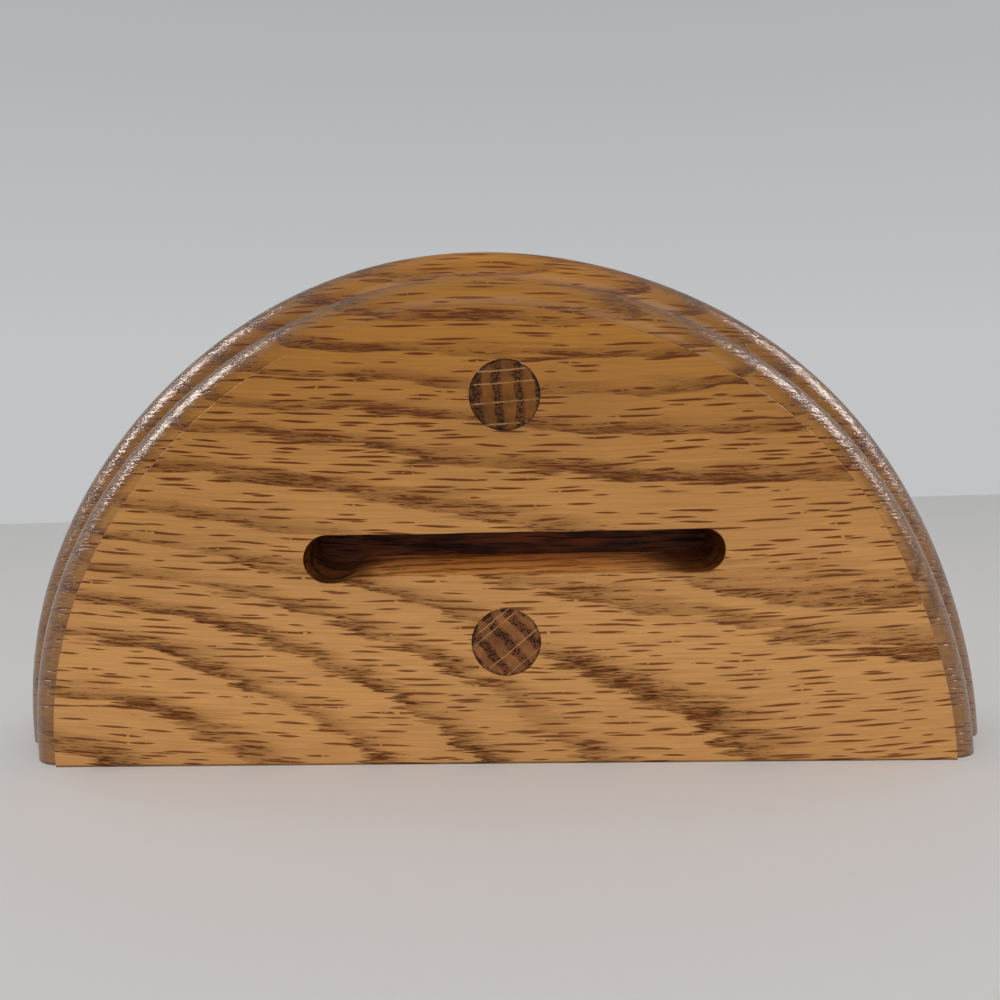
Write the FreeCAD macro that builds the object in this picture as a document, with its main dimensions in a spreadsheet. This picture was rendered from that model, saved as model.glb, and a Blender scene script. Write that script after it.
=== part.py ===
import FreeCAD, Part
import math
import os
import Sketcher

# A half-round photo block holder of red oak, in millimetres.
#
# X runs along the flat base, Y from the front face to the back, Z up.
# The origin is the middle of the base: the straight edge of the half circle
# stands on Z = 0, and the front face and the back lie equally far from Y = 0.
#
# front_board   thick board whose curved edge is routed in two stepped
#               quarter-rounds, with the photo slot sawn right through it
# back_board    thin board glued behind it, which closes the slot
# upper_dowel   round pins glued through both boards and sanded flush,
# lower_dowel   one above the slot and one below it

DIMENSIONS = [
    # name, size in mm, what it is
    ("arc_radius", 95.25, "outer radius of both boards, so 190.5 across"),
    ("front_thickness", 19.05, "front board, a three-quarter inch board"),
    ("back_thickness", 9.5, "back board, a three-eighths inch board"),
    ("step_radius", 5.2, "radius of each routed quarter-round"),
    ("first_shoulder", 1.0, "depth of the small shoulder below the face"),
    ("second_shoulder", 10.9, "depth of the second shoulder below the face"),
    ("back_edge_break", 0.8, "rounding of the back board's curved rear edge"),
    ("slot_height", 7.8, "width of the sawn slot, measured square to it"),
    ("slot_left_x", -32.3, "centre of the hole drilled at the slot's left end"),
    ("slot_left_z", 39.9, "height of the slot's centre line at its left end"),
    ("slot_right_x", 36.3, "centre of the hole drilled at its right end"),
    ("slot_right_z", 40.5, "height of the slot's centre line at its right end"),
    ("left_hole_diameter", 9.2, "hole drilled at the slot's left end"),
    ("left_hole_drop", 0.55, "how far that hole sits below the centre line"),
    ("right_hole_diameter", 7.95, "hole drilled at the slot's right end"),
    ("dowel_hole_diameter", 12.7, "half-inch holes drilled through both boards"),
    ("glue_gap", 0.15, "glue line all round each dowel"),
    ("upper_dowel_z", 68.9, "height of the upper dowel's centre"),
    ("lower_dowel_z", 23.45, "height of the lower dowel's centre"),
]

HALF_TURN = 180.0
SHEET = "Dimensions"


def make_sheet(doc):
    """The spreadsheet that drives every size."""
    sheet = doc.addObject("Spreadsheet::Sheet", SHEET)
    for row, (name, value, meaning) in enumerate(DIMENSIONS, start=1):
        sheet.set(f"A{row}", name)
        sheet.set(f"B{row}", str(value))
        sheet.setAlias(f"B{row}", name)
        sheet.set(f"C{row}", meaning)
    doc.recompute()
    return sheet


def size(sheet, name):
    """The value of one named size, for a sketch's first drawing."""
    return float(sheet.get(name))


def cell(name):
    """How an expression calls one named size."""
    return f"{SHEET}.{name}"


def make_body(doc, name):
    body = doc.addObject("PartDesign::Body", name)
    body.Label = name
    return body


def origin_feature(body, role):
    """One of the body's own origin planes or axes."""
    for feature in body.Origin.OriginFeatures:
        if feature.Role == role:
            return feature
    raise ValueError(f"{body.Label} has no {role}")


def make_sketch(body, name, role):
    """An empty sketch on one of the body's own origin planes."""
    sketch = body.newObject("Sketcher::SketchObject", name)
    sketch.AttachmentSupport = [(origin_feature(body, role), "")]
    sketch.MapMode = "FlatFace"
    return sketch


def point(x, y):
    return FreeCAD.Vector(x, y, 0)


def out_of_plane():
    return FreeCAD.Vector(0, 0, 1)


def bind(sketch, constraint, name, expression):
    """Add a driving constraint, name it and tie it to the sheet."""
    index = sketch.addConstraint(constraint)
    sketch.renameConstraint(index, name)
    sketch.setExpression(f"Constraints.{name}", expression)


def draw_circle(sketch, name, centre, diameter, places):
    """One circle. places holds the expressions of its x, height and diameter.

    An x of None keeps the circle on the board's centre line.
    """
    place_x, place_z, across = places
    outline = Part.Circle(centre, out_of_plane(), diameter / 2)
    circle = sketch.addGeometry(outline)
    if place_x is None:
        sketch.addConstraint(Sketcher.Constraint("PointOnObject", circle, 3, -2))
    else:
        from_axis = Sketcher.Constraint("DistanceX", -1, 1, circle, 3, centre.x)
        bind(sketch, from_axis, name + "_x", place_x)
    above_base = Sketcher.Constraint("DistanceY", -1, 1, circle, 3, centre.y)
    bind(sketch, above_base, name + "_z", place_z)
    width = Sketcher.Constraint("Diameter", circle, diameter)
    bind(sketch, width, name + "_diameter", across)


def draw_half_disc(sketch, radius):
    """A half circle standing on its diameter, centred on the origin."""
    circle = Part.Circle(point(0, 0), out_of_plane(), radius)
    arc = sketch.addGeometry(Part.ArcOfCircle(circle, 0, math.pi))
    base = sketch.addGeometry(Part.LineSegment(point(-radius, 0), point(radius, 0)))
    sketch.addConstraint(Sketcher.Constraint("Coincident", arc, 3, -1, 1))
    sketch.addConstraint(Sketcher.Constraint("Coincident", arc, 1, base, 2))
    sketch.addConstraint(Sketcher.Constraint("Coincident", arc, 2, base, 1))
    sketch.addConstraint(Sketcher.Constraint("PointOnObject", base, 1, -1))
    sketch.addConstraint(Sketcher.Constraint("PointOnObject", base, 2, -1))
    rim = Sketcher.Constraint("Radius", arc, radius)
    bind(sketch, rim, "arc_radius", cell("arc_radius"))


def draw_stepped_section(sketch, sheet):
    """Half of the front board's cross-section, from its middle to its edge.

    It runs from the glued joint at y = 0 forward to the face. Round the edge,
    from the face back, come a small shoulder, a quarter-round, a straight
    wall, a second shoulder, a second quarter-round and the plain edge.
    """
    outer = size(sheet, "arc_radius")
    bead = size(sheet, "step_radius")
    face = -size(sheet, "front_thickness")
    first = face + size(sheet, "first_shoulder")
    second = face + size(sheet, "second_shoulder")
    middle = outer - bead
    inner = middle - bead

    def line(start, end):
        return sketch.addGeometry(Part.LineSegment(start, end))

    def quarter_round(centre):
        circle = Part.Circle(centre, out_of_plane(), bead)
        return sketch.addGeometry(Part.ArcOfCircle(circle, -math.pi / 2, 0))

    front = line(point(0, face), point(inner, face))
    small_shoulder = line(point(inner, face), point(inner, first))
    front_round = quarter_round(point(inner, first + bead))
    wall = line(point(middle, first + bead), point(middle, second))
    rear_round = quarter_round(point(middle, second + bead))
    edge = line(point(outer, second + bead), point(outer, 0))
    joint = line(point(outer, 0), point(0, 0))
    axis = line(point(0, 0), point(0, face))

    outline = [front, small_shoulder, front_round, wall, rear_round, edge, joint, axis]
    for side, following in zip(outline, outline[1:] + outline[:1]):
        sketch.addConstraint(Sketcher.Constraint("Coincident", side, 2, following, 1))
    sketch.addConstraint(Sketcher.Constraint("Coincident", axis, 1, -1, 1))
    for upright in (axis, small_shoulder, wall, edge):
        sketch.addConstraint(Sketcher.Constraint("Vertical", upright))
    for level in (front, joint):
        sketch.addConstraint(Sketcher.Constraint("Horizontal", level))
    # Each quarter-round starts square to its shoulder and runs smoothly into
    # the wall behind it, so its centre is straight behind its start and level
    # with its end.
    for bead_arc in (front_round, rear_round):
        sketch.addConstraint(Sketcher.Constraint("Vertical", bead_arc, 3, bead_arc, 1))
        sketch.addConstraint(Sketcher.Constraint("Horizontal", bead_arc, 3, bead_arc, 2))

    driving = [
        ("front_round", Sketcher.Constraint("Radius", front_round, bead), "step_radius"),
        ("rear_round", Sketcher.Constraint("Radius", rear_round, bead), "step_radius"),
        ("outer", Sketcher.Constraint("DistanceX", joint, 2, joint, 1, outer),
         "arc_radius"),
        ("thickness", Sketcher.Constraint("DistanceY", axis, 2, axis, 1, -face),
         "front_thickness"),
        ("first", Sketcher.Constraint("DistanceY", front, 2, front_round, 1, first - face),
         "first_shoulder"),
        ("second", Sketcher.Constraint("DistanceY", front, 2, rear_round, 1, second - face),
         "second_shoulder"),
    ]
    for name, constraint, dimension in driving:
        bind(sketch, constraint, name, cell(dimension))


def draw_slot(sketch, sheet):
    """The sawn band between the two end holes, parallel to their line."""
    left = point(size(sheet, "slot_left_x"), size(sheet, "slot_left_z"))
    right = point(size(sheet, "slot_right_x"), size(sheet, "slot_right_z"))
    height = size(sheet, "slot_height")
    along = (right - left).normalize()
    across = FreeCAD.Vector(-along.y, along.x, 0) * (height / 2)
    corners = [left - across, right - across, right + across, left + across]
    sides = []
    for start, end in zip(corners, corners[1:] + corners[:1]):
        sides.append(sketch.addGeometry(Part.LineSegment(start, end)))
    sill, right_end, _, left_end = sides
    centre_line = sketch.addGeometry(Part.LineSegment(left, right), True)

    for side, following in zip(sides, sides[1:] + sides[:1]):
        sketch.addConstraint(Sketcher.Constraint("Coincident", side, 2, following, 1))
    sketch.addConstraint(Sketcher.Constraint("Parallel", sill, centre_line))
    sketch.addConstraint(Sketcher.Constraint("Perpendicular", sill, right_end))
    sketch.addConstraint(Sketcher.Constraint("Perpendicular", sill, left_end))
    middle = Sketcher.Constraint("Symmetric", left_end, 1, left_end, 2, centre_line, 1)
    sketch.addConstraint(middle)
    sketch.addConstraint(Sketcher.Constraint("PointOnObject", centre_line, 2, right_end))

    for name, vertex, end in (("left", 1, left), ("right", 2, right)):
        from_axis = Sketcher.Constraint("DistanceX", -1, 1, centre_line, vertex, end.x)
        above_base = Sketcher.Constraint("DistanceY", -1, 1, centre_line, vertex, end.y)
        bind(sketch, from_axis, name + "_x", cell(f"slot_{name}_x"))
        bind(sketch, above_base, name + "_z", cell(f"slot_{name}_z"))
    width = Sketcher.Constraint("Distance", left_end, 1, left_end, 2, height)
    bind(sketch, width, "height", cell("slot_height"))


def draw_slot_ends(sketch, sheet):
    """The two holes between which the slot is sawn.

    The left one is larger than the slot and sits a little low.
    """
    drop = size(sheet, "left_hole_drop")
    left = point(size(sheet, "slot_left_x"), size(sheet, "slot_left_z") - drop)
    right = point(size(sheet, "slot_right_x"), size(sheet, "slot_right_z"))
    low_z = cell("slot_left_z") + " - " + cell("left_hole_drop")
    left_places = (cell("slot_left_x"), low_z, cell("left_hole_diameter"))
    right_places = (cell("slot_right_x"), cell("slot_right_z"), cell("right_hole_diameter"))
    draw_circle(sketch, "left", left, size(sheet, "left_hole_diameter"), left_places)
    draw_circle(sketch, "right", right, size(sheet, "right_hole_diameter"), right_places)


def draw_dowel_holes(sketch, sheet):
    diameter = size(sheet, "dowel_hole_diameter")
    for name in ("upper_dowel_z", "lower_dowel_z"):
        places = (None, cell(name), cell("dowel_hole_diameter"))
        draw_circle(sketch, name, point(0, size(sheet, name)), diameter, places)


def cut_through(doc, body, sketch, name, towards_face):
    """Cut the sketch right through the board, and make sure that it cut."""
    before = body.Shape.Volume
    pocket = body.newObject("PartDesign::Pocket", name)
    pocket.Profile = sketch
    pocket.Type = "ThroughAll"
    pocket.Reversed = towards_face
    sketch.Visibility = False
    doc.recompute()
    if not body.Shape.Volume < before:
        raise RuntimeError(f"{name} removed nothing")


def make_front_board(doc, sheet):
    """The routed face board: its section turned half round, then the cuts."""
    body = make_body(doc, "front_board")
    section = make_sketch(body, "stepped_section", "XY_Plane")
    draw_stepped_section(section, sheet)
    block = body.newObject("PartDesign::Revolution", "routed_half_round")
    block.Profile = section
    block.ReferenceAxis = (origin_feature(body, "Y_Axis"), [""])
    block.Angle = HALF_TURN
    # Reversed, the section swings up from +X over the top to -X.
    block.Reversed = True
    section.Visibility = False
    doc.recompute()

    slot = make_sketch(body, "slot_outline", "XZ_Plane")
    draw_slot(slot, sheet)
    cut_through(doc, body, slot, "photo_slot", True)

    ends = make_sketch(body, "slot_end_outline", "XZ_Plane")
    draw_slot_ends(ends, sheet)
    cut_through(doc, body, ends, "slot_end_holes", True)

    holes = make_sketch(body, "front_dowel_outline", "XZ_Plane")
    draw_dowel_holes(holes, sheet)
    cut_through(doc, body, holes, "front_dowel_holes", True)
    return body


def rear_arc(shape, radius, thickness):
    """The name of the curved edge round the back board's rear face."""
    for number, edge in enumerate(shape.Edges, start=1):
        is_arc = isinstance(edge.Curve, Part.Circle)
        if is_arc and math.isclose(edge.Curve.Radius, radius):
            if math.isclose(edge.CenterOfMass.y, thickness):
                return f"Edge{number}"
    raise ValueError("the back board has no rear arc")


def make_back_board(doc, sheet):
    """The thin board behind the slot, its rear arc eased by hand."""
    radius = size(sheet, "arc_radius")
    body = make_body(doc, "back_board")
    outline = make_sketch(body, "half_disc", "XZ_Plane")
    draw_half_disc(outline, radius)
    board = body.newObject("PartDesign::Pad", "half_round")
    board.Profile = outline
    board.Reversed = True
    board.setExpression("Length", cell("back_thickness"))
    outline.Visibility = False
    doc.recompute()

    eased = body.newObject("PartDesign::Fillet", "eased_edge")
    eased.Base = (board, [rear_arc(board.Shape, radius, size(sheet, "back_thickness"))])
    eased.setExpression("Radius", cell("back_edge_break"))
    doc.recompute()

    holes = make_sketch(body, "back_dowel_outline", "XZ_Plane")
    draw_dowel_holes(holes, sheet)
    cut_through(doc, body, holes, "back_dowel_holes", False)
    return body


def make_dowel(doc, sheet, name):
    """One pin through both boards, flush with the face and with the back."""
    body = make_body(doc, name)
    outline = make_sketch(body, name + "_outline", "XZ_Plane")
    diameter = size(sheet, "dowel_hole_diameter") - 2 * size(sheet, "glue_gap")
    across = cell("dowel_hole_diameter") + " - 2 * " + cell("glue_gap")
    places = (None, cell(name + "_z"), across)
    draw_circle(outline, name, point(0, size(sheet, name + "_z")), diameter, places)
    pin = body.newObject("PartDesign::Pad", name + "_pin")
    pin.Profile = outline
    pin.Reversed = True
    pin.setExpression("Length", cell("front_thickness") + " + " + cell("back_thickness"))
    outline.Visibility = False
    doc.recompute()
    return body


def check(doc, bodies):
    """Stop if anything failed to build, or built something unsound."""
    for item in doc.Objects:
        if "Invalid" in item.State or "Error" in item.State:
            raise RuntimeError(f"{item.Label} did not build: {item.State}")
    for body in bodies:
        shape = body.Shape
        if shape.isNull() or not shape.isValid() or len(shape.Solids) != 1:
            raise RuntimeError(f"{body.Label} is not one sound solid")


def write(bodies):
    os.makedirs("parts", exist_ok=True)
    for body in bodies:
        body.Shape.exportStep(f"parts/{body.Label}.step")
        box = body.Shape.optimalBoundingBox()
        print(f"{body.Label}: {body.Shape.Volume:.1f} mm3,",
              f"x {box.XMin:.2f} to {box.XMax:.2f},",
              f"y {box.YMin:.2f} to {box.YMax:.2f},",
              f"z {box.ZMin:.2f} to {box.ZMax:.2f}")


doc = FreeCAD.newDocument("photo_block_holder")
sheet = make_sheet(doc)
front_board = make_front_board(doc, sheet)
back_board = make_back_board(doc, sheet)
upper_dowel = make_dowel(doc, sheet, "upper_dowel")
lower_dowel = make_dowel(doc, sheet, "lower_dowel")

# The boards are drawn from the glued joint between them, the dowels from the
# face, and the whole thickness is centred on Y = 0.
joint_y = f"({cell('front_thickness')} - {cell('back_thickness')}) / 2"
face_y = f"-({cell('front_thickness')} + {cell('back_thickness')}) / 2"
front_board.setExpression("Placement.Base.y", joint_y)
back_board.setExpression("Placement.Base.y", joint_y)
upper_dowel.setExpression("Placement.Base.y", face_y)
lower_dowel.setExpression("Placement.Base.y", face_y)
doc.recompute()

pieces = [front_board, back_board, upper_dowel, lower_dowel]
check(doc, pieces)
write(pieces)
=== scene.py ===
# %% [markdown]
# # A half-round photo block holder in varnished red oak
#
# The real object is a small block that holds a photo plate in a long slot. It is two boards
# glued face to face and pinned with two dowels. The curved edge of the front board is routed
# in two stepped quarter-rounds, and the whole block is varnished.
#
# A machined model of the block is loaded first. It gives every size and is never changed.
# Each of its four pieces is then made again here with the marks of hand work on it.

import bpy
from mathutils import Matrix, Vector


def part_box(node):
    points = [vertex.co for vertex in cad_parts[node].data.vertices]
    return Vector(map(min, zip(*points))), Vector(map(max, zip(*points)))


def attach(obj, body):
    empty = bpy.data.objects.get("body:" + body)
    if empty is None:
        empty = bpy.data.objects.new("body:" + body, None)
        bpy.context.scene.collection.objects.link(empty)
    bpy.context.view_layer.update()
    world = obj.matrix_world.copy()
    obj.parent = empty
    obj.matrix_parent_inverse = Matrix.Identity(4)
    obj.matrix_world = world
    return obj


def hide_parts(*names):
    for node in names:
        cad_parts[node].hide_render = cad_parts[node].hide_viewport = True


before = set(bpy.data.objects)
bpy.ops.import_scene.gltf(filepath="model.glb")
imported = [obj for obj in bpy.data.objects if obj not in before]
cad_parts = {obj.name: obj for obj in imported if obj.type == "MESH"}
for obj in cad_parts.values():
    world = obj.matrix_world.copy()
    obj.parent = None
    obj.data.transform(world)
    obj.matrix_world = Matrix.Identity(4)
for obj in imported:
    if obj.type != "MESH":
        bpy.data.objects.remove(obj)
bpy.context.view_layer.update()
print("machined pieces:", sorted(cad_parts))

# %% Modules
import math

import bmesh
import bpy
from mathutils import Matrix, Vector, noise

# %% [markdown]
# ## Sizes
#
# The scene is in metres and a woodworker thinks in millimetres, so small sizes are written in
# millimetres and multiplied by one constant. The thicknesses and the arc come from the model,
# so that they can't drift away from it.

# %% Sizes from the model
MM = 0.001

front_low, front_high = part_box("front_board")
back_low, back_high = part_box("back_board")
FACE_Y = front_low.y
JOINT_Y = front_high.y
REAR_Y = back_high.y
ARC_RADIUS = front_high.x


def dowel_middle(node):
    low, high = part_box(node)
    return (low + high) / 2


UPPER_MIDDLE = dowel_middle("upper_dowel")
LOWER_MIDDLE = dowel_middle("lower_dowel")
DOWEL_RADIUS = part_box("upper_dowel")[1].x - UPPER_MIDDLE.x
print(f"arc {ARC_RADIUS / MM:.2f} mm, face at {FACE_Y / MM:.2f} mm,",
      f"joint at {JOINT_Y / MM:.2f} mm, back at {REAR_Y / MM:.2f} mm")

# %% [markdown]
# ## Camera
#
# The camera stands close, a hand's breadth from the face, and looks a little down on it. A
# close camera makes the face larger than the back, so its distance matters as much as its
# lens. Both were worked out from the half circle and from how the steps hide behind it.

# %% Camera
CAMERA_PLACE = Vector((-1.24, -200.24, 77.26)) * MM
LOOK_DOWN = math.radians(8.339)
LOOK_LEFT = math.radians(-0.088)
LEAN = math.radians(-0.438)

camera_data = bpy.data.cameras.new("camera")
camera_data.lens = 37.44
camera_data.sensor_width = 36
camera_data.clip_start = 10 * MM
camera = bpy.data.objects.new("camera", camera_data)
camera.matrix_world = (Matrix.Translation(CAMERA_PLACE)
                       @ Matrix.Rotation(LOOK_LEFT, 4, "Z")
                       @ Matrix.Rotation(math.pi / 2 - LOOK_DOWN, 4, "X")
                       @ Matrix.Rotation(LEAN, 4, "Z"))
bpy.context.scene.collection.objects.link(camera)
bpy.context.scene.camera = camera
bpy.context.scene.view_settings.view_transform = "Standard"
print("camera looks along", camera.matrix_world.to_3x3() @ Vector((0, 0, -1)))

# %% [markdown]
# ## Two small helpers for materials
#
# Colours are easy to read and compare as sRGB hex values, but a shader wants linear light, so
# one function turns one into the other. A second adds a node, sets it up and links it, which
# keeps each pattern below as short as the idea behind it.

# %% Colour and node helpers
def linear(hex_colour):
    """An sRGB hex colour, such as "c48a4a", as linear red, green, blue and alpha."""
    channels = [int(hex_colour[i:i + 2], 16) / 255 for i in (0, 2, 4)]
    light = [c / 12.92 if c <= 0.04045 else ((c + 0.055) / 1.055) ** 2.4 for c in channels]
    return (*light, 1)


def add(tree, kind, inputs, **settings):
    """Add a node. An input is a plain value, a socket, or a node whose result is meant."""
    node = tree.nodes.new("ShaderNode" + kind)
    for name, value in settings.items():
        setattr(node, name, value)
    for key, value in inputs.items():
        if isinstance(key, int):
            socket = node.inputs[key]
        else:
            socket = next(s for s in node.inputs if s.enabled and s.name == key)
        if isinstance(value, bpy.types.Node):
            value = next(s for s in value.outputs if s.enabled)
        if isinstance(value, bpy.types.NodeSocket):
            tree.links.new(value, socket)
        else:
            socket.default_value = value
    return node


print("mid grey is", linear("808080"))

# %% [markdown]
# ## Making a piece from a mesh
#
# Every piece ends the same way: its doubled points are merged, its faces are turned outwards,
# and its hard edges are marked so that light breaks on them. A flat face beside a rounded
# edge keeps its own shading, or the gloss would bend on wood that is planed flat. Spinning
# leaves the faces in another order each time, so they are also put in a fixed order.

# %% Hand a mesh over as a piece
WELD = 0.002 * MM
HARD_EDGE = math.radians(35)
FLAT = 0.99999


def is_flat(face):
    """Whether a face is square to the depth or to the height."""
    return abs(face.normal.y) > FLAT or abs(face.normal.z) > FLAT


def breaks_the_light(edge):
    if len(edge.link_faces) != 2:
        return False
    first, second = edge.link_faces
    return edge.calc_face_angle() > HARD_EDGE or is_flat(first) != is_flat(second)


def put_faces_in_order(bm):
    bm.verts.index_update()
    in_order = sorted(bm.faces, key=lambda face: sorted(vert.index for vert in face.verts))
    for index, face in enumerate(in_order):
        face.index = index
    bm.faces.sort()


def hand_over(bm, name, node, material):
    """Make a finished piece that stands for one node of the machined model."""
    bmesh.ops.remove_doubles(bm, verts=bm.verts, dist=WELD)
    put_faces_in_order(bm)
    bmesh.ops.recalc_face_normals(bm, faces=bm.faces)
    bm.normal_update()
    for face in bm.faces:
        face.smooth = True
    for edge in bm.edges:
        edge.smooth = not breaks_the_light(edge)
    open_edges = sum(1 for edge in bm.edges if len(edge.link_faces) != 2)
    print(f"{name}: {len(bm.faces)} faces, {open_edges} open edges,",
          f"{bm.calc_volume() / MM ** 3:.0f} mm3")
    mesh = bpy.data.meshes.new(name)
    bm.to_mesh(mesh)
    bm.free()
    mesh.materials.append(material)
    piece = bpy.data.objects.new(name, mesh)
    bpy.context.scene.collection.objects.link(piece)
    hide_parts(node)
    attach(piece, "root")
    return piece


# %% [markdown]
# ## The finish: varnished red oak
#
# Flat-sawn red oak shows three things at once. Growth rings cross the face as dark porous
# bands that arch where the saw ran along the trunk. Rays show as short dark dashes along the
# grain. Open pores make each band a brush of fine lines rather than a stripe.
#
# All three are solid patterns, worked out from the place in the wood. That way they run on
# round the routed edge and into the slot, as they do in a real board, and change into end
# grain at the sides by themselves.

# %% Places in the wood, in millimetres
def wood_places(tree):
    """The x, y and z of a point of the piece, in millimetres."""
    place = add(tree, "TexCoord", {}).outputs["Object"]
    in_mm = add(tree, "Mapping", {"Vector": place, "Scale": (1 / MM, 1 / MM, 1 / MM)})
    return add(tree, "SeparateXYZ", {"Vector": in_mm}).outputs


def stretched_noise(tree, xyz, size, detail=2.0, roughness=0.5, shift=0.0):
    """Soft noise whose blots are size = (along, deep, across) millimetres."""
    x, y, z = xyz
    joined = add(tree, "CombineXYZ", {0: x, 1: y, 2: z})
    scaled = add(tree, "Mapping", {
        "Vector": joined,
        "Location": (shift, shift, shift),
        "Scale": tuple(1 / s for s in size)})
    return add(tree, "TexNoise", {
        "Vector": scaled, "Scale": 1.0, "Detail": detail, "Roughness": roughness})


# %% [markdown]
# ### Growth rings
#
# A tree adds about the same area of wood each year, so the ring number grows with the square
# of the distance from the heart. Here the heart runs behind the board, comes nearer to the
# left end and climbs to the right. That is what makes the arches lean over to the right.

# %% Growth rings
HEART_DEPTH = 103.3
HEART_SLANT = 0.424
HEART_BOW = -0.0024
HEART_HEIGHT = -28.7
HEART_CLIMB = 0.377
RINGS_PER_AREA = 0.000746
FIRST_RING = 5.11
WEATHER_CYCLE = 6.3
WEATHER_START = 7.4
WEATHER_SWING = 0.2
RIGHT_END = (10.0, 40.0)
LEAN_YEAR = (6.5, 6.8)
WIDE_YEAR = (6.9, 8.0)


def ring_number(tree, x, y, z):
    """How many years of growth lie between the heart and a point, less a few."""
    low = add(tree, "Math", {0: x, 1: -HEART_CLIMB, 2: z}, operation="MULTIPLY_ADD")
    up = add(tree, "Math", {0: low, 1: HEART_HEIGHT}, operation="SUBTRACT")
    bow = add(tree, "Math", {0: x, 1: HEART_BOW, 2: HEART_SLANT}, operation="MULTIPLY_ADD")
    face_depth = HEART_DEPTH + FACE_Y / MM
    slant = add(tree, "Math", {0: x, 1: bow, 2: face_depth}, operation="MULTIPLY_ADD")
    depth = add(tree, "Math", {0: slant, 1: y}, operation="SUBTRACT")
    from_heart = add(tree, "CombineXYZ", {0: up, 1: depth})
    squared = add(tree, "VectorMath", {0: from_heart, 1: from_heart}, operation="DOT_PRODUCT")
    even = add(tree, "Math", {
        0: squared.outputs["Value"], 1: RINGS_PER_AREA, 2: -FIRST_RING},
        operation="MULTIPLY_ADD")
    pace = math.tau / WEATHER_CYCLE
    phase = add(tree, "Math", {0: even, 1: pace, 2: -WEATHER_START * pace},
                operation="MULTIPLY_ADD")
    swing = add(tree, "Math", {0: phase}, operation="SINE")
    number = add(tree, "Math", {0: swing, 1: -WEATHER_SWING, 2: even},
                 operation="MULTIPLY_ADD")

    # At the right end one lean year draws two bands together and leaves a wide one above.
    to_right = add(tree, "MapRange", {
        "Value": x, "From Min": RIGHT_END[0], "From Max": RIGHT_END[1]})
    lean_year = add(tree, "MapRange", {
        "Value": number, "From Min": LEAN_YEAR[0], "From Max": LEAN_YEAR[1],
        "To Min": -0.38, "To Max": 0.37}, interpolation_type="SMOOTHSTEP")
    wide_year = add(tree, "MapRange", {
        "Value": number, "From Min": WIDE_YEAR[0], "From Max": WIDE_YEAR[1],
        "To Max": -0.42})
    shift = add(tree, "Math", {0: lean_year, 1: wide_year}, operation="ADD")
    return add(tree, "Math", {0: shift, 1: to_right, 2: number}, operation="MULTIPLY_ADD")


# %% [markdown]
# ### Rays
#
# Each ray is a thin ribbon that stands on edge in the wood, so the face cuts it as a spindle:
# a few millimetres long, under half a millimetre thick and pointed at both ends. They lie in
# rows along the grain. Each row is divided into cells, and a cell holds one spindle or none.

# %% Rays
RAY_SOFT_EDGE = 0.07


def ray_dashes(tree, along, across, row_height, cell_length, shortest, longest, half_width,
               share, shift):
    """1 inside the dark spindles of the rays, 0 between them. Lengths are half lengths."""
    row = add(tree, "Math", {0: across, 1: 1 / row_height, 2: shift}, operation="MULTIPLY_ADD")
    row_number = add(tree, "Math", {0: row}, operation="FLOOR")
    in_row = add(tree, "Math", {0: row}, operation="FRACT")
    row_luck = add(tree, "TexWhiteNoise", {"W": row_number}, noise_dimensions="1D")
    row_luck = row_luck.outputs["Value"]
    stagger = add(tree, "Math", {0: row_luck, 1: 13.0, 2: shift}, operation="MULTIPLY_ADD")
    cell = add(tree, "Math", {0: along, 1: 1 / cell_length, 2: stagger},
               operation="MULTIPLY_ADD")
    cell_number = add(tree, "Math", {0: cell}, operation="FLOOR")
    in_cell = add(tree, "Math", {0: cell}, operation="FRACT")
    which = add(tree, "CombineXYZ", {0: cell_number, 1: row_number})
    luck = add(tree, "TexWhiteNoise", {"Vector": which}, noise_dimensions="2D")
    lucks = add(tree, "SeparateColor", {0: luck.outputs["Color"]}).outputs

    is_there = add(tree, "Math", {0: lucks[0], 1: 1 - share}, operation="GREATER_THAN")
    length = add(tree, "MapRange", {
        "Value": lucks[0], "From Min": 1 - share,
        "To Min": shortest / cell_length, "To Max": longest / cell_length})
    room = add(tree, "Math", {0: length, 1: -2.0, 2: 1.0}, operation="MULTIPLY_ADD")
    moved = add(tree, "Math", {0: lucks[1], 1: 0.5}, operation="SUBTRACT")
    centre = add(tree, "Math", {0: moved, 1: room, 2: 0.5}, operation="MULTIPLY_ADD")
    from_centre = add(tree, "Math", {0: in_cell, 1: centre}, operation="SUBTRACT")
    end = add(tree, "Math", {0: from_centre, 1: length}, operation="DIVIDE")
    end_squared = add(tree, "Math", {0: end, 1: end}, operation="MULTIPLY")
    spindle = add(tree, "Math", {0: end_squared, 1: -half_width, 2: half_width},
                  operation="MULTIPLY_ADD")
    line = add(tree, "Math", {0: row_luck, 1: 0.24, 2: 0.26}, operation="MULTIPLY_ADD")
    own_line = add(tree, "Math", {0: lucks[2], 1: 0.24, 2: line}, operation="MULTIPLY_ADD")
    off_line = add(tree, "Math", {0: in_row, 1: own_line}, operation="SUBTRACT")
    side = add(tree, "Math", {0: off_line}, operation="ABSOLUTE")
    inside = add(tree, "Math", {0: side, 1: -row_height, 2: spindle},
                 operation="MULTIPLY_ADD")
    dash = add(tree, "MapRange", {
        "Value": inside, "From Min": -0.02, "From Max": RAY_SOFT_EDGE},
        interpolation_type="SMOOTHSTEP")
    return add(tree, "Math", {0: dash, 1: is_there}, operation="MULTIPLY")


# %% [markdown]
# ### Fibres, early wood and pores
#
# No board is regular. Its fibres sag, its rings waver and its vessels end at ragged lengths.
# Noise could be painted over a regular pattern, but here it moves the place that each pattern
# is asked for, so rings, pores and rays all bend together as they do in wood.

# %% The run of the fibres
FIBRE_SAG = 0.00045
FIBRE_LOW_POINT = 3.0
FIBRE_RIPPLE = 0.8


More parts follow.
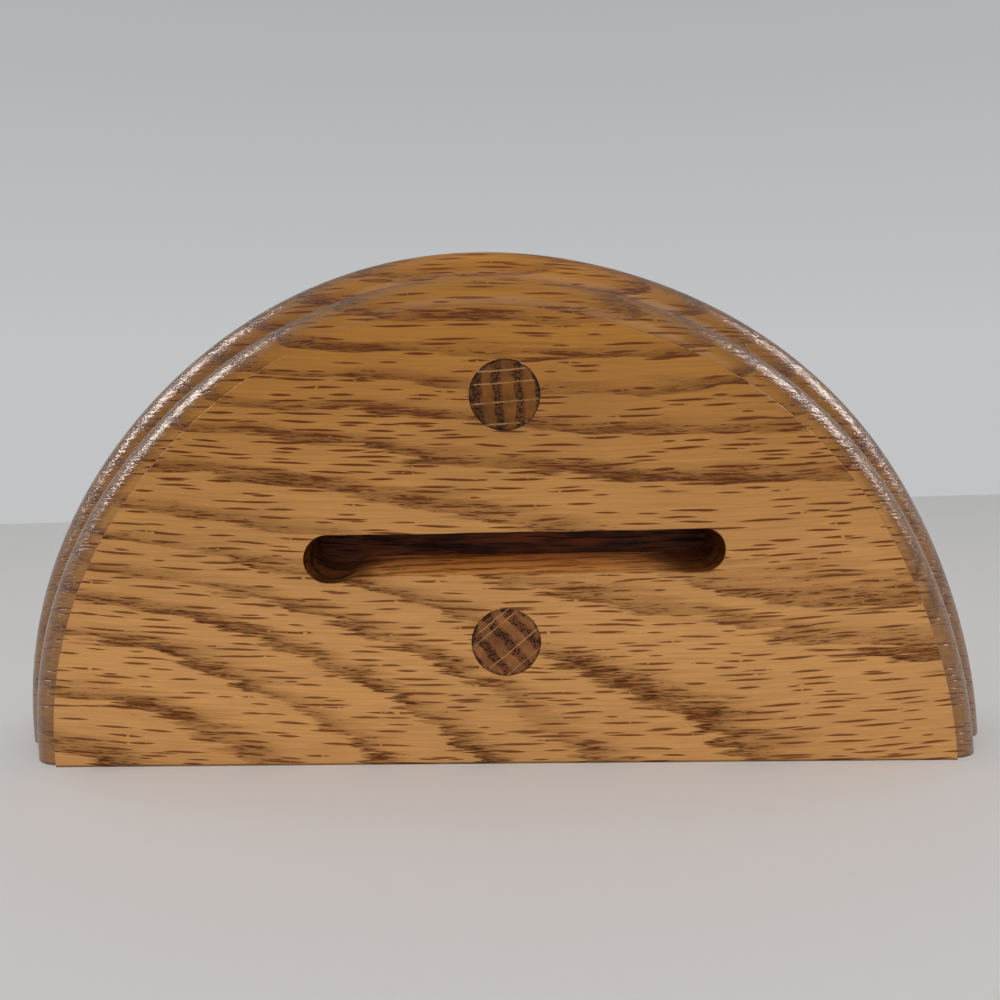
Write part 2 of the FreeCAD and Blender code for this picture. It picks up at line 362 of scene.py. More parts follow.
def fibre_height(tree, x, y, z):
    """The height of the fibre through a point. Fibres sag towards the middle and ripple."""
    from_low = add(tree, "Math", {0: x, 1: FIBRE_LOW_POINT}, operation="SUBTRACT")
    sag = add(tree, "Math", {0: from_low, 1: from_low}, operation="MULTIPLY")
    sagged = add(tree, "Math", {0: sag, 1: -FIBRE_SAG, 2: z}, operation="MULTIPLY_ADD")
    ripple = stretched_noise(tree, (x, y, z), (24, 20, 7), 2.0, 0.5, 8.8)
    ripple_mm = add(tree, "MapRange", {
        "Value": ripple, "To Min": -FIBRE_RIPPLE, "To Max": FIBRE_RIPPLE})
    return add(tree, "Math", {0: sagged, 1: ripple_mm}, operation="ADD")


# %% Early wood of each ring
RING_WANDER = 2.2
RAGGED_ENDS = 6.0


def early_wood(tree, x, y, z, across, shift):
    """1 in the porous early wood of each ring, falling to 0 in its late wood."""
    wander = stretched_noise(tree, (x, y, z), (38, 30, 13), 2.0, 0.5, 3.7 + shift)
    wander_mm = add(tree, "MapRange", {
        "Value": wander, "To Min": -RING_WANDER, "To Max": RING_WANDER})
    wandered = add(tree, "Math", {0: z, 1: wander_mm}, operation="ADD")
    teeth = stretched_noise(tree, (x, y, across), (9, 1.5, 0.42), 3.0, 0.6, 1.3)
    teeth_mm = add(tree, "MapRange", {
        "Value": teeth, "To Min": -RAGGED_ENDS, "To Max": RAGGED_ENDS})
    ragged = add(tree, "Math", {0: x, 1: teeth_mm}, operation="ADD")
    years = ring_number(tree, ragged, y, wandered)
    patchy = stretched_noise(tree, (x, y, across), (14, 5, 1.1), 2.0, 0.5, 2.6)
    patchy_year = add(tree, "MapRange", {"Value": patchy, "To Min": -0.3, "To Max": 0.3})
    year = add(tree, "Math", {0: years, 1: patchy_year}, operation="ADD")
    season = add(tree, "Math", {0: year}, operation="FRACT")
    spring = add(tree, "MapRange", {"Value": season, "From Max": 0.07},
                 interpolation_type="SMOOTHSTEP")
    summer = add(tree, "MapRange", {
        "Value": season, "From Min": 0.10, "From Max": 0.56, "To Min": 1.0, "To Max": 0.0},
        interpolation_type="SMOOTHSTEP")
    porous = add(tree, "Math", {0: spring, 1: summer}, operation="MULTIPLY")
    vigour = stretched_noise(tree, (x, y, z), (30, 30, 9), 2.0, 0.5, 5.5 + shift)
    strength = add(tree, "MapRange", {
        "Value": vigour, "From Min": 0.35, "From Max": 0.62, "To Min": 0.4, "To Max": 1.0})
    return add(tree, "Math", {0: porous, 1: strength}, operation="MULTIPLY")


# %% Open pores
def pore_lines(tree, x, y, across, early):
    """1 in the fine dark lines that cut vessels leave, which crowd in the early wood."""
    fine = stretched_noise(tree, (x, y, across), (3.2, 0.34, 0.22), 2.0, 0.6, 5.1)
    crowd = add(tree, "Math", {0: early, 1: 0.31, 2: fine}, operation="MULTIPLY_ADD")
    return add(tree, "MapRange", {"Value": crowd, "From Min": 0.72, "From Max": 0.86},
               interpolation_type="SMOOTHSTEP")


# %% Two sizes of ray
RAY_LEAN = 0.5


def board_rays(tree, x, y, across, shift):
    """All the spindles of the rays, and the same with the gaps that break some of them."""
    leaning = add(tree, "Math", {0: y, 1: RAY_LEAN, 2: across}, operation="MULTIPLY_ADD")
    long_rays = ray_dashes(tree, x, leaning, 1.25, 12.0, 2.2, 5.7, 0.23, 0.62, 2.2 + shift)
    short_rays = ray_dashes(tree, x, leaning, 1.6, 8.0, 1.3, 3.4, 0.17, 0.45, 8.4 + shift)
    spindles = add(tree, "Math", {0: long_rays, 1: short_rays}, operation="MAXIMUM")
    breaks = stretched_noise(tree, (x, y, across), (1.7, 9, 1.3), 1.0, 0.5, 9.9)
    whole = add(tree, "MapRange", {"Value": breaks, "From Min": 0.27, "From Max": 0.32})
    broken = add(tree, "Math", {0: spindles, 1: whole}, operation="MULTIPLY")
    return spindles, broken


# %% [markdown]
# ### The colour of the wood
#
# Boiled down, the colour is golden late wood, browned in the porous early wood of each ring, with
# dark pores and rays on top. The wood is darker and more orange towards the top of the block, so
# it is mixed from two colours over its height. Streaks along the grain and broad blotches then
# lighten and darken it, because no two fibres reflect alike.

# %% Wood colour
DEEPER_FROM = 20.0
DEEPER_TO = 90.0


def wood_colour(tree, xyz, across, early, pores, rays, colours, shift):
    x, y, z = xyz
    rising = add(tree, "MapRange", {
        "Value": z, "From Min": DEEPER_FROM, "From Max": DEEPER_TO},
        interpolation_type="SMOOTHSTEP")
    late = add(tree, "Mix", {
        "Factor": rising, "A": linear(colours["late wood"]),
        "B": linear(colours["late wood at the top"])}, data_type="RGBA")
    browner = add(tree, "Math", {0: rising, 1: 0.3, 2: 0.78}, operation="MULTIPLY_ADD")
    browned = add(tree, "Math", {0: early, 1: browner}, operation="MULTIPLY")
    wood = add(tree, "Mix", {
        "Factor": browned, "A": late, "B": linear(colours["early wood"])}, data_type="RGBA")

    streak = stretched_noise(tree, (x, y, across), (17, 2.5, 0.5), 4.0, 0.7, 7.7)
    streak_light = add(tree, "MapRange", {"Value": streak, "To Min": 0.6, "To Max": 1.4})
    blotch = stretched_noise(tree, (x, y, z), (45, 40, 18), 2.0, 0.5, 9.1 + shift)
    blotch_light = add(tree, "MapRange", {"Value": blotch, "To Min": 0.85, "To Max": 1.15})
    light = add(tree, "Math", {0: streak_light, 1: blotch_light}, operation="MULTIPLY")
    toned = add(tree, "VectorMath", {0: wood, "Scale": light}, operation="SCALE")

    with_pores = add(tree, "Mix", {
        "Factor": pores, "A": toned, "B": linear(colours["pore"])}, data_type="RGBA")
    darker = add(tree, "Math", {0: rising, 1: 0.25, 2: 0.86}, operation="MULTIPLY_ADD")
    ray_tone = add(tree, "Math", {0: rays, 1: darker}, operation="MULTIPLY")
    return add(tree, "Mix", {
        "Factor": ray_tone, "A": with_pores, "B": linear(colours["ray"])}, data_type="RGBA")


# %% [markdown]
# ### Where the finish went
#
# End grain drinks more finish than a face, so the sides of the arc turn a greyer brown, and
# the second step and the feet most of all. A second material would leave a hard border
# there. A share between 0 and 1 that follows the way the wood is cut fades in, as on the
# real block.

# %% End grain of the routed edge
RIM_START = ARC_RADIUS / MM - 13.5


def finish_taken_up(tree, x, y, z):
    """Where the routed edge drank the finish, and where painted light makes its crest paler."""
    section = add(tree, "CombineXYZ", {0: x, 2: z})
    from_middle = add(tree, "VectorMath", {0: section}, operation="LENGTH").outputs["Value"]
    in_rim = add(tree, "Math", {0: from_middle, 1: RIM_START}, operation="GREATER_THAN")
    past_arris = add(tree, "MapRange", {
        "Value": y, "From Min": FACE_Y / MM + 0.25, "From Max": FACE_Y / MM + 0.5})
    facing = add(tree, "NewGeometry", {}).outputs["Normal"]
    sideways, to_rear, _ = add(tree, "SeparateXYZ", {0: facing}).outputs
    not_rear = add(tree, "MapRange", {
        "Value": to_rear, "From Min": 0.6, "From Max": 0.95, "To Min": 1.0, "To Max": 0.0})
    routed = add(tree, "Math", {0: in_rim, 1: past_arris}, operation="MULTIPLY")
    on_edge = add(tree, "Math", {0: routed, 1: not_rear}, operation="MULTIPLY")

    aside = add(tree, "Math", {0: sideways}, operation="ABSOLUTE")
    cut_across = add(tree, "MapRange", {"Value": aside, "From Min": 0.02, "From Max": 0.42},
                     interpolation_type="SMOOTHSTEP")
    second_step = add(tree, "MapRange", {
        "Value": y, "From Min": FACE_Y / MM + 3.0, "From Max": FACE_Y / MM + 7.0,
        "To Max": 0.7})
    far_out = add(tree, "Math", {0: x}, operation="ABSOLUTE")
    at_the_side = add(tree, "MapRange", {"Value": far_out, "From Min": 12.0, "From Max": 50.0})
    stepped_side = add(tree, "Math", {0: second_step, 1: at_the_side}, operation="MULTIPLY")
    near_foot = add(tree, "MapRange", {
        "Value": far_out, "From Min": 64.0, "From Max": 82.0, "To Max": 0.9})
    rougher = add(tree, "Math", {0: stepped_side, 1: near_foot}, operation="MAXIMUM")
    either = add(tree, "Math", {0: cut_across, 1: rougher}, operation="MAXIMUM")
    drunk = add(tree, "Math", {0: on_edge, 1: either}, operation="MULTIPLY")
    the_rest = add(tree, "Math", {0: on_edge, 1: drunk}, operation="SUBTRACT")
    crest = add(tree, "Math", {0: the_rest, 1: second_step}, operation="MULTIPLY")
    return drunk, crest


# %% [markdown]
# Glue was squeezed out round each dowel and left a thin ragged dark ring, and a painted contact
# shadow makes a dark line at the foot of the block where it stands. Both are only darker, so they
# are one factor that the colour is multiplied by.

# %% Glue rings and the painted shadow at the foot
RING_INSIDE = DOWEL_RADIUS / MM - 0.95
RING_FADE = 0.25


def glue_ring_and_foot_shadow(tree, x, y, z):
    """How much of its colour the wood keeps beside a dowel, and under the painted contact shadow
    at the foot.
    """
    section = add(tree, "CombineXYZ", {0: x, 2: z})
    distances = [
        add(tree, "VectorMath", {0: section, 1: (middle.x / MM, 0, middle.z / MM)},
            operation="DISTANCE").outputs["Value"]
        for middle in (UPPER_MIDDLE, LOWER_MIDDLE)]
    nearer = add(tree, "Math", {0: distances[0], 1: distances[1]}, operation="MINIMUM")
    fringe = stretched_noise(tree, (x, y, z), (1.3, 30, 0.5), 2.0, 0.6, 6.7)
    ragged_ring = add(tree, "Math", {0: fringe, 1: -1.5, 2: nearer}, operation="MULTIPLY_ADD")
    squeeze_out = add(tree, "MapRange", {
        "Value": ragged_ring, "From Min": RING_INSIDE, "From Max": RING_INSIDE + RING_FADE,
        "To Min": 0.3, "To Max": 1.0})
    # Painted contact shadow: a thin dark line along the foot of the block.
    painted_foot_shadow = add(tree, "MapRange", {
        "Value": z, "From Min": 0.15, "From Max": 0.5, "To Min": 0.3, "To Max": 1.0})
    return add(tree, "Math", {0: painted_foot_shadow, 1: squeeze_out}, operation="MULTIPLY")


# %% [markdown]
# Painted shade darkens the back of the slot and its drilled ends, in streaks, and painted light
# makes the sill between them paler. Both are worked out from the place in the slot.

# %% Painted shade and light in the slot
SLOT_MIDDLE = (1.8, 40.0)
SLOT_REACH = (41.0, 7.5)
# How much painted light makes the sill paler, in red, green and blue.
SILL_PAINTED_LIGHT = (0.75, 0.88, 0.8)


def slot_painted_shade_and_light(tree, x, y, z, shade_from, shade_to):
    """Where painted shade darkens the slot, where painted light makes the sill paler, and the
    streaks in the shade.
    """
    off_x = add(tree, "Math", {0: x, 1: SLOT_MIDDLE[0]}, operation="SUBTRACT")
    off_z = add(tree, "Math", {0: z, 1: SLOT_MIDDLE[1]}, operation="SUBTRACT")
    far_x = add(tree, "Math", {0: off_x}, operation="ABSOLUTE")
    far_z = add(tree, "Math", {0: off_z}, operation="ABSOLUTE")
    in_x = add(tree, "Math", {0: far_x, 1: SLOT_REACH[0]}, operation="LESS_THAN")
    in_z = add(tree, "Math", {0: far_z, 1: SLOT_REACH[1]}, operation="LESS_THAN")
    in_y = add(tree, "Math", {0: y, 1: JOINT_Y / MM + 1.0}, operation="LESS_THAN")
    in_xz = add(tree, "Math", {0: in_x, 1: in_z}, operation="MULTIPLY")
    in_slot = add(tree, "Math", {0: in_xz, 1: in_y}, operation="MULTIPLY")
    behind_face = add(tree, "Math", {0: y, 1: FACE_Y / MM + 0.5}, operation="GREATER_THAN")

    # Painted shade deep in the slot and, in streaks, round its drilled ends.
    deep = add(tree, "MapRange", {
        "Value": y, "From Min": shade_from, "From Max": shade_to},
        interpolation_type="SMOOTHSTEP")
    shade_streaks = stretched_noise(tree, (x, y, z), (15, 6, 1.5), 2.0, 0.6, 3.3)
    shade_reach = add(tree, "Math", {0: shade_streaks, 1: 20.0, 2: far_x}, operation="MULTIPLY_ADD")
    at_an_end = add(tree, "MapRange", {
        "Value": shade_reach, "From Min": 34.0, "From Max": 42.0, "To Max": 0.9},
        interpolation_type="SMOOTHSTEP")
    in_a_hole = add(tree, "Math", {0: at_an_end, 1: behind_face}, operation="MULTIPLY")
    shaded_part = add(tree, "Math", {0: deep, 1: in_a_hole}, operation="MAXIMUM")
    painted_slot_shade = add(tree, "Math", {0: in_slot, 1: shaded_part}, operation="MULTIPLY")
    inside = add(tree, "Math", {0: in_slot, 1: behind_face}, operation="MULTIPLY")
    # Painted light on the sill, where no painted shade falls.
    the_rest = add(tree, "Math", {0: shaded_part, 1: -1.0, 2: 1.0}, operation="MULTIPLY_ADD")
    painted_sill_light = add(tree, "Math", {0: inside, 1: the_rest}, operation="MULTIPLY")
    return painted_slot_shade, painted_sill_light, shade_streaks


# %% [markdown]
# ### Varnish over the board
#
# The block was varnished with a brush. That leaves a clear coat whose gloss wavers slowly
# along the strokes, sinks a few hundredths of a millimetre over pores and rays, and stays
# lumpy on end grain. The coat is thin on the faces and heavy on the routed edge, which took
# several layers. Its index is that of varnish, 1.5.

# %% Varnished oak board
PORE_DEPTH = 0.09 * MM
END_GRAIN_COVER = 0.72
# How much painted light brightens the crest of the second step.
CREST_PAINTED_LIGHT = 0.36


def varnished_oak(name, colours, shade_from, shade_to, shift=0.0):
    """Flat-sawn red oak under brushed varnish. The shift takes another place in the log."""
    material = bpy.data.materials.new(name)
    material.use_nodes = True
    tree = material.node_tree
    tree.nodes.clear()
    x, y, z = wood_places(tree)
    across = fibre_height(tree, x, y, z)
    early = early_wood(tree, x, y, z, across, shift)
    pores = pore_lines(tree, x, y, across, early)
    spindles, rays = board_rays(tree, x, y, across, shift)
    wood = wood_colour(tree, (x, y, z), across, early, pores, rays, colours, shift)

    # Soaked end grain is freckled where fibres drank unevenly. Painted light makes the crest
    # paler.
    drunk, crest = finish_taken_up(tree, x, y, z)
    crest_painted_light = add(tree, "Math", {0: crest, 1: CREST_PAINTED_LIGHT, 2: 1.0},
                      operation="MULTIPLY_ADD")
    sanded = add(tree, "VectorMath", {0: wood, "Scale": crest_painted_light}, operation="SCALE")
    grit = stretched_noise(tree, (x, y, z), (2.0, 0.8, 0.5), 3.0, 0.6, 4.4)
    freckles = add(tree, "MapRange", {
        "Value": grit, "From Min": 0.3, "From Max": 0.7, "To Min": 0.4, "To Max": 1.6})
    freckled = add(tree, "VectorMath", {
        0: linear(colours["end grain"])[:3], "Scale": freckles}, operation="SCALE")
    taken_up = add(tree, "Math", {0: drunk, 1: END_GRAIN_COVER}, operation="MULTIPLY")
    soaked = add(tree, "Mix", {
        "Factor": taken_up, "A": sanded, "B": freckled}, data_type="RGBA")
    # The glue rings and the painted contact shadow at the foot darken the colour.
    glue_and_shadow_factor = glue_ring_and_foot_shadow(tree, x, y, z)
    glued_and_shadowed = add(tree, "VectorMath", {0: soaked, "Scale": glue_and_shadow_factor}, operation="SCALE")

    # Painted shade darkens the back and the drilled ends of the slot, in streaks, and painted
    # light makes the sill paler.
    painted_slot_shade, painted_sill_light, shade_streaks = slot_painted_shade_and_light(tree, x, y, z, shade_from, shade_to)
    shade_streak_strength = add(tree, "MapRange", {
        "Value": shade_streaks, "From Min": 0.38, "From Max": 0.62, "To Min": 0.3, "To Max": 1.5})
    painted_shade_colour = add(tree, "VectorMath", {
        0: linear(colours["painted slot shade"])[:3], "Scale": shade_streak_strength}, operation="SCALE")
    tinted = add(tree, "Mix", {
        "Factor": painted_slot_shade, "A": glued_and_shadowed, "B": painted_shade_colour}, data_type="RGBA", blend_type="MULTIPLY")
    sill_light = add(tree, "VectorMath", {0: painted_sill_light, 1: SILL_PAINTED_LIGHT, 2: (1.0, 1.0, 1.0)},
                operation="MULTIPLY_ADD")
    colour = add(tree, "VectorMath", {0: tinted, 1: sill_light}, operation="MULTIPLY")

    sunk = add(tree, "Math", {0: pores, 1: spindles}, operation="MAXIMUM")
    rough_ends = add(tree, "Math", {0: grit, 1: drunk}, operation="MULTIPLY")
    lumps = add(tree, "Math", {0: rough_ends, 1: 2.4}, operation="MULTIPLY")
    height = add(tree, "Math", {0: sunk, 1: -0.6, 2: lumps}, operation="MULTIPLY_ADD")
    relief = add(tree, "Bump", {"Height": height, "Strength": 1.0, "Distance": PORE_DEPTH})
    brushed = stretched_noise(tree, (x, y, z), (14, 2, 1.6), 2.0, 0.5, 6.2)
    roughness = add(tree, "MapRange", {"Value": brushed, "To Min": 0.38, "To Max": 0.52})
    varnish = add(tree, "MapRange", {"Value": drunk, "To Min": 0.22, "To Max": 1.0})
    dull = add(tree, "Math", {0: painted_slot_shade, 1: -0.5, 2: 1.0}, operation="MULTIPLY_ADD")
    coat = add(tree, "Math", {0: varnish, 1: dull}, operation="MULTIPLY")
    shader = add(tree, "BsdfPrincipled", {
        "Base Color": colour, "Roughness": roughness, "IOR": 1.5,
        "Specular IOR Level": 0.1,
        "Coat Weight": coat, "Coat Roughness": 0.17, "Coat IOR": 1.5,
        "Normal": relief, "Coat Normal": relief})
    add(tree, "OutputMaterial", {"Surface": shader})
    return material


# %% Oak of the two boards
front_oak = varnished_oak("varnished_red_oak", {
    "late wood": "ce9658", "late wood at the top": "a87029", "early wood": "804c18",
    "pore": "5c2c00", "ray": "6c3000", "end grain": "6c4424", "painted slot shade": "8c6c60"},
    FACE_Y / MM + 17.0, JOINT_Y / MM + 7.0)
back_oak = varnished_oak("varnished_red_oak_back", {
    "late wood": "b47f48", "late wood at the top": "ac7434", "early wood": "6c3c14",
    "pore": "381800", "ray": "4c2400", "end grain": "603c24", "painted slot shade": "8c6c5c"},
    JOINT_Y / MM + 0.6, JOINT_Y / MM + 0.3, shift=40.0)
print("oak nodes:", len(front_oak.node_tree.nodes))

# %% [markdown]
# ### Dowel ends
#
# A dowel shows its end grain to the viewer: rings as rows of round pores, rays as thin pale
# lines across them, and a dark line of glue round the edge. Both dowels are the same kind of
# wood, the lower one paler, and they are turned differently in their holes. So the same
# functions make both, with another turn, ring and set of rays for each.

# %% Rings and pores of an end
RING_WIDTH = 3.7
PORE_SPACING = 0.42


def end_rings(tree, xyz, along_ray, ring_shift):
    """The waver of the rings in millimetres, their early wood, and the pores in it."""
    x, y, z = xyz
    waver = stretched_noise(tree, (x, y, z), (2.6, 30.0, 2.6), 2.0, 0.6, 2.0)
    waver_mm = add(tree, "MapRange", {"Value": waver, "To Min": -0.9, "To Max": 0.9})
    ring_place = add(tree, "Math", {0: along_ray, 1: waver_mm}, operation="ADD")
    ring = add(tree, "Math", {
        0: ring_place, 1: 1 / RING_WIDTH, 2: ring_shift}, operation="MULTIPLY_ADD")
    season = add(tree, "Math", {0: ring, 1: 1.0}, operation="FLOORED_MODULO")
    spring = add(tree, "MapRange", {"Value": season, "From Max": 0.1},
                 interpolation_type="SMOOTHSTEP")
    summer = add(tree, "MapRange", {
        "Value": season, "From Min": 0.4, "From Max": 0.6, "To Min": 1.0, "To Max": 0.0},
        interpolation_type="SMOOTHSTEP")
    early = add(tree, "Math", {0: spring, 1: summer}, operation="MULTIPLY")
    section = add(tree, "CombineXYZ", {0: x, 2: z})
    pore_cells = add(tree, "Mapping", {
        "Vector": section, "Scale": (1 / PORE_SPACING, 1.0, 1 / PORE_SPACING)})
    holes = add(tree, "TexVoronoi", {"Vector": pore_cells, "Scale": 1.0})
    hole = add(tree, "MapRange", {
        "Value": holes.outputs["Distance"], "From Min": 0.3, "From Max": 0.5,
        "To Min": 1.0, "To Max": 0.0}, interpolation_type="SMOOTHSTEP")
    pores = add(tree, "Math", {0: hole, 1: early}, operation="MULTIPLY")
    return waver_mm, early, pores


# %% Rays of an end
RAY_THICKNESS = 0.11


def end_rays(tree, xyz, across_ray, waver_mm, ray_places):
    """1 on the pale line of each ray, which crosses the end at its own height."""
    bent = add(tree, "Math", {0: waver_mm, 1: 0.2, 2: across_ray}, operation="MULTIPLY_ADD")
    nearest = None
    for place in ray_places:
        off_ray = add(tree, "Math", {0: bent, 1: place}, operation="SUBTRACT")
        side = add(tree, "Math", {0: off_ray}, operation="ABSOLUTE")
        if nearest is None:
            nearest = side
        else:
            nearest = add(tree, "Math", {0: nearest, 1: side}, operation="MINIMUM")
    line = add(tree, "MapRange", {
        "Value": nearest, "From Min": 0.6 * RAY_THICKNESS, "From Max": 1.7 * RAY_THICKNESS,
        "To Min": 1.0, "To Max": 0.0}, interpolation_type="SMOOTHSTEP")
    clear = stretched_noise(tree, xyz, (2.2, 30.0, 2.2), 1.0, 0.5, 5.0)
    clearness = add(tree, "MapRange", {
        "Value": clear, "From Min": 0.3, "From Max": 0.55, "To Min": 0.35})
    return add(tree, "Math", {0: line, 1: clearness}, operation="MULTIPLY")


# %% Glue round an end
def glue_line(tree, xyz, flat, waver_mm):
    """1 in the dark glue that was left round a dowel, 0 where it was sanded off."""
    reach = add(tree, "VectorMath", {0: flat}, operation="LENGTH")
    uneven = add(tree, "Math", {0: waver_mm, 1: 0.8, 2: reach.outputs["Value"]},
                 operation="MULTIPLY_ADD")
    rim = DOWEL_RADIUS / MM
    glue = add(tree, "MapRange", {
        "Value": uneven, "From Min": rim - 0.55, "From Max": rim - 0.1, "To Max": 0.95},
        interpolation_type="SMOOTHSTEP")
    squeezed = stretched_noise(tree, xyz, (1.1, 30.0, 1.1), 3.0, 0.7, 1.2)
    left_over = add(tree, "MapRange", {
        "Value": squeezed, "From Min": 0.4, "From Max": 0.58, "To Min": 0.05})
    return add(tree, "Math", {0: glue, 1: left_over}, operation="MULTIPLY")


# %% Varnished end grain of a dowel
PORE_COLOUR = "120802"
PALE_RAY = "aa7c4c"
GLUE_COLOUR = "1e0e06"


def dowel_end_grain(name, middle, late_wood, early_wood_tone, turn, ring_shift, ray_places):
    """Oak end grain round a middle, with its rays turned and its rings shifted."""
    material = bpy.data.materials.new(name)
    material.use_nodes = True
    tree = material.node_tree
    tree.nodes.clear()
    x, y, z = wood_places(tree)
    up = add(tree, "Math", {0: z, 1: middle.z / MM}, operation="SUBTRACT")
    flat = add(tree, "CombineXYZ", {0: x, 2: up})
    turned = add(tree, "VectorRotate", {
        "Vector": flat, "Angle": turn}, rotation_type="Y_AXIS")
    along_ray, _, across_ray = add(tree, "SeparateXYZ", {0: turned}).outputs
    waver_mm, early, pores = end_rings(tree, (x, y, z), along_ray, ring_shift)
    rays = end_rays(tree, (x, y, z), across_ray, waver_mm, ray_places)
    glue = glue_line(tree, (x, y, z), flat, waver_mm)

    stain = stretched_noise(tree, (x, y, z), (3.0, 30.0, 3.0), 3.0, 0.6, 7.0)
    tinted = add(tree, "MapRange", {
        "Value": stain, "From Min": 0.3, "From Max": 0.7, "To Min": 0.6, "To Max": 1.4})
    wood = add(tree, "Mix", {
        "Factor": early, "A": linear(late_wood), "B": linear(early_wood_tone)},
        data_type="RGBA")
    toned = add(tree, "VectorMath", {0: wood, "Scale": tinted}, operation="SCALE")
    with_pores = add(tree, "Mix", {
        "Factor": pores, "A": toned, "B": linear(PORE_COLOUR)}, data_type="RGBA")
    with_rays = add(tree, "Mix", {
        "Factor": rays, "A": with_pores, "B": linear(PALE_RAY)}, data_type="RGBA")
    colour = add(tree, "Mix", {
        "Factor": glue, "A": with_rays, "B": linear(GLUE_COLOUR)}, data_type="RGBA")
    height = add(tree, "Math", {0: pores, 1: -1.0}, operation="MULTIPLY")
    relief = add(tree, "Bump", {"Height": height, "Distance": 0.06 * MM})
    shader = add(tree, "BsdfPrincipled", {
        "Base Color": colour, "Roughness": 0.42, "IOR": 1.5,
        "Specular IOR Level": 0.05,
        "Coat Weight": 0.2, "Coat Roughness": 0.2, "Coat IOR": 1.5,
        "Normal": relief, "Coat Normal": relief})
    add(tree, "OutputMaterial", {"Surface": shader})
    return material


upper_end_grain = dowel_end_grain(
    "upper_dowel_end_grain", UPPER_MIDDLE, "7a4a1a", "5c3412",
    turn=math.radians(4), ring_shift=0.58, ray_places=(4.4, 2.2, -1.2, -5.1))
lower_end_grain = dowel_end_grain(
    "lower_dowel_end_grain", LOWER_MIDDLE, "8a5832", "6a3e20",
    turn=math.radians(40), ring_shift=0.2, ray_places=(4.6, 3.3, -1.8, -4.9))
print("dowel nodes:", len(upper_end_grain.node_tree.nodes))

# %% [markdown]
# ## The hand-sawn arc
#
# The real arc is no true half circle. The saw ran a little outside the line on the left and
# well inside it on the right, by over two millimetres. Both boards were sawn together, so the
# same line shapes both. A few sine waves that vanish at the base corners describe it.

# %% How far the saw strayed
INSIDE_THE_LINE = 0.1
WAVES = (-0.57, -1.57, -0.62, -0.19, -0.11, -0.30)


def sawn_radius(radius, angle):
    """A radius of the true arc, moved to where the saw cut at that angle."""
    stray = sum(wave * math.sin(n * angle) for n, wave in enumerate(WAVES, start=1))
    return radius + (stray - INSIDE_THE_LINE) * MM


for degrees in range(0, 181, 30):
    cut = sawn_radius(ARC_RADIUS, math.radians(degrees))
    print(f"at {degrees:3d} degrees the arc is cut at {cut / MM:.2f} mm")

# %% [markdown]
# ## Boards from a turned section
#
# A router bit leaves the same section all round the edge. So the section is drawn once, as a
# wire of square corners, and its corners are bevelled round, just as the bit rounds the edge.
# The wire is then spun through half a turn and the flat sides are filled in.

# %% Draw a section and spin it
SPIN_STEPS = 216


def draw_section(bm, corners):
    """A wire through corners of (radius, depth, rounding, segments)."""
    verts = [bm.verts.new((radius, depth, 0)) for radius, depth, _, _ in corners]
    for start, end in zip(verts, verts[1:]):
        bm.edges.new((start, end))
    for vert, (_, _, rounding, segments) in zip(verts, corners):
        if rounding:
            bmesh.ops.bevel(bm, geom=[vert], offset=rounding, offset_type="OFFSET",
                            affect="VERTICES", segments=segments, profile=0.5,
                            material=-1, clamp_overlap=False)
    bmesh.ops.remove_doubles(bm, verts=bm.verts, dist=WELD)


def spin_half_round(bm):
    """Turn the section from +X over the top to -X, then shape the arc as the saw cut it."""
    bmesh.ops.spin(bm, geom=bm.verts[:] + bm.edges[:], cent=(0, 0, 0), axis=(0, 1, 0),
                   angle=-math.pi, steps=SPIN_STEPS, use_merge=False, use_duplicate=False)
    for vert in bm.verts:
        angle = math.atan2(vert.co.z, vert.co.x)
        radius = sawn_radius(math.hypot(vert.co.x, vert.co.z), angle)
        vert.co.x = radius * math.cos(angle)
        vert.co.z = max(0.0, radius * math.sin(angle))


# %% [markdown]
# An opening starts as a flat face in the board's face, and extruding it back through the
# board makes the walls. Both ends of that tube are then deleted, and the flat sides of the
# board are filled round them. A hole could also be subtracted from a finished board, but this
# way keeps its edge a clean ring of points.

# %% Openings through a board
def cut_opening(bm, face, near_y, far_y):
    """Turn a flat face at near_y into the walls of an opening to far_y."""
    result = bmesh.ops.extrude_face_region(bm, geom=[face])
    moved = [item for item in result["geom"] if isinstance(item, bmesh.types.BMVert)]
    bmesh.ops.translate(bm, verts=moved, vec=(0, far_y - near_y, 0))
    far_end = [item for item in result["geom"] if isinstance(item, bmesh.types.BMFace)]
    bmesh.ops.delete(bm, geom=[face] + far_end, context="FACES_ONLY")


def close_flat_side(bm, axis, level, normal):
    """Fill the flat side at one level of an axis, leaving the openings in it."""
    def on_side(edge):
        return all(abs(vert.co[axis] - level) < WELD for vert in edge.verts)

    border = [edge for edge in bm.edges if len(edge.link_faces) < 2 and on_side(edge)]
    bmesh.ops.triangle_fill(bm, edges=border, use_beauty=True, use_dissolve=False,
                            normal=normal)


def add_base_line(bm, depth):
    """The straight edge at the foot of a flat side, between the inner ends of the spin."""
    feet = [v for v in bm.verts if abs(v.co.y - depth) < WELD and v.co.z < WELD]
    left = max((v for v in feet if v.co.x < 0), key=lambda vert: vert.co.x)
    right = min((v for v in feet if v.co.x > 0), key=lambda vert: vert.co.x)
    bm.edges.new((left, right))


def close_board(bm, near_y, far_y):
    for depth in (near_y, far_y):
        bmesh.ops.remove_doubles(bm, verts=bm.verts, dist=WELD)
        add_base_line(bm, depth)
    close_flat_side(bm, 1, near_y, (0, -1, 0))
    close_flat_side(bm, 1, far_y, (0, 1, 0))
    close_flat_side(bm, 2, 0.0, (0, 0, -1))


# %% [markdown]
# ## Front board
#
# Its edge steps back twice. A small shoulder and a quarter-round come first, then a straight
# wall and a second shoulder with the same quarter-round. These are the sizes of the router
# bit and of its two depth settings.

